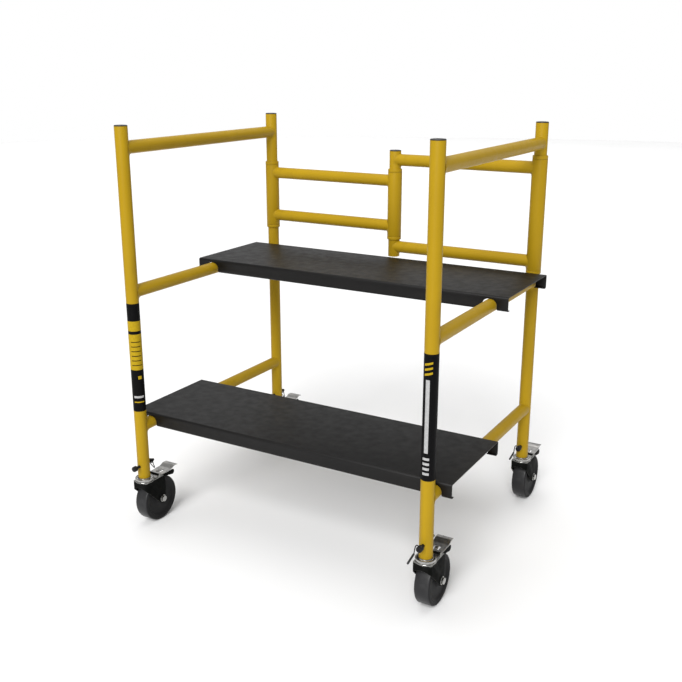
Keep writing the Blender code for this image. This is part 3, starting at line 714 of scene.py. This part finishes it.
def pedal_mesh():
    """The stamped pedal plate: a square slot, a hollow round the race and a tip that curls up."""
    middle = smooth_path([(0.0, -0.0016, 0.0), (0.0150, -0.0016, 0.0), (0.0440, -0.0010, 0.0),
                          (0.0530, 0.0004, 0.0), (0.0610, 0.0041, 0.0), (0.0680, 0.0046, 0.0),
                          (0.0765, 0.0038, 0.0)], 8)
    rows = [(-0.0200, middle[0].y)] + [(point.x, point.y) for point in middle]
    columns = [PEDAL_HALF * step / 26 for step in range(-26, 27)]
    half = PEDAL_PLATE / 2
    bm = bmesh.new()
    top, bottom = [], []
    for x in columns:
        front = math.sqrt((RACE_R + 0.001) ** 2 - x * x) - PEDAL_PIVOT[0]
        for side, height in ((top, half), (bottom, -half)):
            side.append([bm.verts.new((x, max(y, front), z + height)) for y, z in rows])
    open_cells = set()
    for column in range(len(columns) - 1):
        for row in range(len(rows) - 1):
            x = (columns[column] + columns[column + 1]) / 2
            y = (rows[row][0] + rows[row + 1][0]) / 2
            if abs(x) < PEDAL_SLOT_HALF and PEDAL_SLOT[0] < y < PEDAL_SLOT[1]:
                open_cells.add((column, row))
    for column in range(len(columns) - 1):
        for row in range(len(rows) - 1):
            if (column, row) in open_cells:
                continue
            corners = [(column, row), (column + 1, row), (column + 1, row + 1), (column, row + 1)]
            neighbours = [(column, row - 1), (column + 1, row), (column, row + 1), (column - 1, row)]
            bm.faces.new([top[a][b] for a, b in corners])
            bm.faces.new([bottom[a][b] for a, b in reversed(corners)])
            for index, cell in enumerate(neighbours):
                inside = 0 <= cell[0] < len(columns) - 1 and 0 <= cell[1] < len(rows) - 1
                if inside and cell not in open_cells:
                    continue
                (a, b), (c, d) = corners[index], corners[(index + 1) % 4]
                bm.faces.new((top[a][b], bottom[a][b], bottom[c][d], top[c][d]))
    return combine("pedal", finish_mesh(bm, "pedal"), [], "UNION", bevel=0.0002)


def skirt_mesh():
    """The pedal's two side skirts, rounded at the toe, and the barrel they turn on."""
    side = [(0.0, -0.0026)] + arc((0.0535, -0.0103), 0.0076, 90, -90, 18) + [(0.020, -0.011), (0.0, -0.0052)]
    parts = [prism("skirt", side, low, low + 0.0009) for low in (-0.0212, 0.0203)]
    barrel = lathe("barrel", [(0.0, -0.0212), (0.0035, -0.0212), (0.0035, 0.0212), (0.0, 0.0212)], 32, axis="X")
    return combine("skirts", barrel, parts, "UNION", bevel=0.0002)


def tongue_mesh():
    """The tongue struck up from the pedal's slot."""
    outline = [(0.0165, -0.0030), (0.0170, -0.0012), (0.0235, 0.0022), (0.0300, 0.0020), (0.0302, 0.0006),
               (0.0240, 0.0006), (0.0185, -0.0026)]
    return combine("tongue", prism("tongue", outline, -0.0045, 0.0045), [], "UNION", bevel=0.0003)


def pin_mesh():
    front, rear, knob, shank = -0.040, -0.029, 0.0075, 0.004
    end = 0.040
    profile = [(0.0, front), (knob - 0.0014, front), (knob - 0.0004, front + 0.0004), (knob, front + 0.0014),
               (knob, front + 0.0042), (knob - 0.0008, front + 0.0048), (knob - 0.0008, front + 0.0060),
               (knob, front + 0.0066), (knob, rear - 0.0010), (knob - 0.0010, rear), (shank, rear),
               (shank, end - 0.0012), (shank - 0.0004, end - 0.0004), (shank - 0.0012, end), (0.0, end)]
    return lathe("pin", profile, 48, axis="Y")


def eye_mesh(y):
    profile = [(0.0058 + a, y + b) for a, b in arc((0.0, 0.0), 0.0014, 0, 345, 15)]
    return lathe("eye", profile, 40, closed=True, axis="Y", sharp_angle=60.0)


def lever_meshes():
    eye_y = -0.0272
    wire = wire_mesh("lever wire", [(-0.0058, eye_y, 0.001), (-0.0092, eye_y - 0.0020, 0.0048),
                                    (-0.0104, -0.0350, 0.0042), (-0.0105, -0.0390, -0.0020),
                                    (-0.0105, -0.0430, -0.0105), (-0.0105, -0.0520, -0.0138)], 0.0013)
    wire = combine("lever", wire, [eye_mesh(eye_y)], "UNION")
    grip = wire_mesh("lever grip", [(-0.0105, -0.0440, -0.0115), (-0.0105, -0.0600, -0.0162),
                                    (-0.0105, -0.0736, -0.0198)], 0.0026)
    return wire, grip


def keeper_mesh():
    eye_y = 0.0305
    down = [(-0.0058, eye_y, -0.001), (-0.0050, eye_y + 0.002, -0.010), (-0.0008, eye_y + 0.0085, -0.0225),
            (0.0015, eye_y + 0.0095, -0.0244), (0.0036, eye_y + 0.0085, -0.0225), (0.0058, eye_y + 0.002, -0.010),
            (0.0058, eye_y, -0.001)]
    return combine("keeper", wire_mesh("keeper wire", down, 0.0012), [eye_mesh(eye_y)], "UNION")


def build_casters():
    meshes = {"stem": stem_mesh(), "fork": fork_mesh(), "race": race_mesh(), "wheel": wheel_mesh(),
              "axle": axle_mesh(), "pedal": pedal_mesh(), "skirts": skirt_mesh(), "tongue": tongue_mesh(),
              "pin": pin_mesh(), "keeper": keeper_mesh()}
    lever, grip = lever_meshes()
    for corner in CORNERS:
        x, y = post_axis(corner)
        ground = (x, y, 0.0)
        hub = (x, y + TRAIL, WHEEL_R)
        brake = (x, y + PEDAL_PIVOT[0], PEDAL_PIVOT[1])
        hole = (x, y, PIN_Z)
        fork, pin = f"{corner}_fork", f"{corner}_pin"
        stem = f"{corner}_stem"
        place(f"{stem}_finish", meshes["stem"], ZINC, corner.split("_")[0] + "_frame", ground, [stem])
        place(f"{fork}_finish", meshes["fork"], FORK, fork, ground, [fork])
        place(f"{corner}_race", meshes["race"], ZINC, fork, ground)
        place(f"{corner}_axle_finish", meshes["axle"], ZINC, fork, hub, [f"{corner}_axle"])
        place(f"{corner}_wheel_finish", meshes["wheel"], RUBBER, f"{corner}_wheel", hub,
              [f"{corner}_wheel"])
        pedal = f"{corner}_pedal"
        place(f"{pedal}_finish", meshes["pedal"], PLATED, pedal, brake, [pedal])
        place(f"{pedal}_tongue", meshes["tongue"], PLATED, pedal, brake)
        # painted shade: the plated skirts take the dark fork steel, standing in for dark reflections on their sides
        place(f"{pedal}_skirts", meshes["skirts"], FORK, pedal, brake)
        place(f"{pin}_finish", meshes["pin"], OXIDE, pin, hole, [pin])
        if corner.startswith("left"):
            node = f"{corner}_keeper"
            place(f"{node}_finish", meshes["keeper"], OXIDE, pin, hole, [node])
        else:
            node = f"{corner}_lever"
            place(f"{node}_finish", lever, OXIDE, pin, hole, [node])
            place(f"{node}_grip", grip, CAP, pin, hole)


# ---- labels -------------------------------------------------------------------------------
def wrap_patch(name, corner, angles, heights, layer, material, slant=0.0):
    """A thin film round a post, between two angles in degrees and two heights; `slant` lifts its far edge."""
    x, y = post_axis(corner)
    inner = POST_R + 0.00005 + 0.00012 * layer
    outer = inner + 0.00012
    steps = max(2, int(abs(angles[1] - angles[0]) / 5))
    bm = bmesh.new()
    columns = []
    for step in range(steps + 1):
        part = step / steps
        angle = math.radians(angles[0] + (angles[1] - angles[0]) * part)
        lift = slant * part
        column = []
        for radius, z in ((inner, heights[0]), (outer, heights[0]), (outer, heights[1]), (inner, heights[1])):
            column.append(bm.verts.new((radius * math.cos(angle), radius * math.sin(angle), z + lift)))
        columns.append(column)
    for near, far in zip(columns, columns[1:]):
        for edge in range(4):
            following = (edge + 1) % 4
            bm.faces.new((near[edge], near[following], far[following], far[edge]))
    bm.faces.new(columns[0])
    bm.faces.new(columns[-1])
    mesh = finish_mesh(bm, name)
    place(name, mesh, material, corner.split("_")[0] + "_frame", (x, y, 0.0))


def build_labels():
    """Plain banded films in the places of the real labels, with no lettering or marks."""
    low, high = 0.3385, 0.6365
    for corner in ("left_front", "right_front"):
        wrap_patch(f"{corner}_label", corner, (120, 420), (low, high), 0, LABEL_BLACK)
    left = "left_front"
    around = (205, 425)
    wrap_patch("left_label_upper_field", left, around, (0.5627, 0.5895), 1, LABEL_YELLOW)
    wrap_patch("left_label_lower_field", left, around, (0.4557, 0.5540), 1, LABEL_YELLOW)
    for index in range(6):
        z = 0.4680 + 0.0128 * index
        wrap_patch(f"left_label_rule_{index}", left, (270, 360), (z, z + 0.0022), 2, LABEL_BLACK)
    wrap_patch("left_label_bar", left, (268, 362), (0.3770, 0.3830), 1, LABEL_GREY)
    wrap_patch("left_label_rule_low", left, (268, 362), (0.3640, 0.3672), 1, LABEL_YELLOW)
    wrap_patch("left_label_dot", left, (318, 350), (0.4300, 0.4390), 1, LABEL_YELLOW)
    right = "right_front"
    for index in range(3):
        z = 0.5860 + 0.0115 * index
        wrap_patch(f"right_label_slash_{index}", right, (238, 306), (z, z + 0.0050), 1, LABEL_YELLOW, 0.006)
    wrap_patch("right_label_stripe", right, (254, 286), (0.4060, 0.5780), 1, LABEL_GREY)
    for index in range(4):
        z = 0.3530 + 0.0120 * index
        wrap_patch(f"right_label_block_{index}", right, (242, 298), (z, z + 0.0060), 1, LABEL_GREY)


# ---- set ----------------------------------------------------------------------------------
def build_floor():
    bm = bmesh.new()
    bmesh.ops.create_circle(bm, cap_ends=True, radius=14.0, segments=96)
    mesh = bpy.data.meshes.new("floor")
    bm.to_mesh(mesh)
    bm.free()
    mesh.materials.append(floor_paint())
    floor = bpy.data.objects.new("floor", mesh)
    floor.location = (0.0, 0.0, -0.0005)
    bpy.context.scene.collection.objects.link(floor)


def add_light(name, place_at, target, size, power):
    light = bpy.data.lights.new(name, "AREA")
    light.shape = "RECTANGLE"
    light.size, light.size_y = size
    light.energy = power
    lamp = bpy.data.objects.new(name, light)
    lamp.location = place_at
    lamp.visible_camera = False
    lamp.rotation_euler = (Vector(target) - Vector(place_at)).to_track_quat("-Z", "Y").to_euler()
    bpy.context.scene.collection.objects.link(lamp)


def build_lights():
    world = bpy.data.worlds.new("studio")
    world.use_nodes = True
    tree = world.node_tree
    background = tree.nodes["Background"]
    background.inputs["Color"].default_value = (1.0, 1.0, 1.0, 1.0)
    seen = tree.nodes.new("ShaderNodeLightPath").outputs["Is Camera Ray"]
    strength = tree.nodes.new("ShaderNodeMapRange")
    strength.inputs["To Min"].default_value = 0.40
    strength.inputs["To Max"].default_value = 1.0
    tree.links.new(seen, strength.inputs["Value"])
    tree.links.new(strength.outputs["Result"], background.inputs["Strength"])
    bpy.context.scene.world = world
    sun = bpy.data.lights.new("key", "SUN")
    sun.energy = 3.05
    sun.angle = math.radians(35.0)
    key = bpy.data.objects.new("key", sun)
    key.rotation_euler = Vector((-0.17, 0.79, -0.62)).to_track_quat("-Z", "Y").to_euler()
    bpy.context.scene.collection.objects.link(key)
    add_light("top", (-0.4, 0.2, 3.8), (0.0, 0.0, 0.4), (3.0, 3.0), 42.0)
    add_light("backdrop", (-3.5, 7.5, 5.0), (-3.5, 7.5, 0.0), (14.0, 6.0), 190.0)
    add_light("front fill", (0.9, -5.5, 1.0), (0.0, 0.0, 0.5), (2.5, 2.0), 20.0)
    bpy.context.scene.view_settings.view_transform = "Standard"


def build_camera():
    camera = bpy.data.objects.new("camera", bpy.data.cameras.new("camera"))
    camera.data.lens = CAMERA_LENS
    camera.data.sensor_width = 36.0
    camera.location = Vector(CAMERA_PLACE) + Vector((0.0, MIDDLE_Y, 0.0))
    camera.rotation_euler = (math.radians(90.0 - CAMERA_PITCH), 0.0, math.radians(CAMERA_YAW))
    bpy.context.scene.collection.objects.link(camera)
    bpy.context.scene.camera = camera


build_camera()
build_lights()
build_floor()
build_tubes()
build_decks()
build_casters()
build_labels()
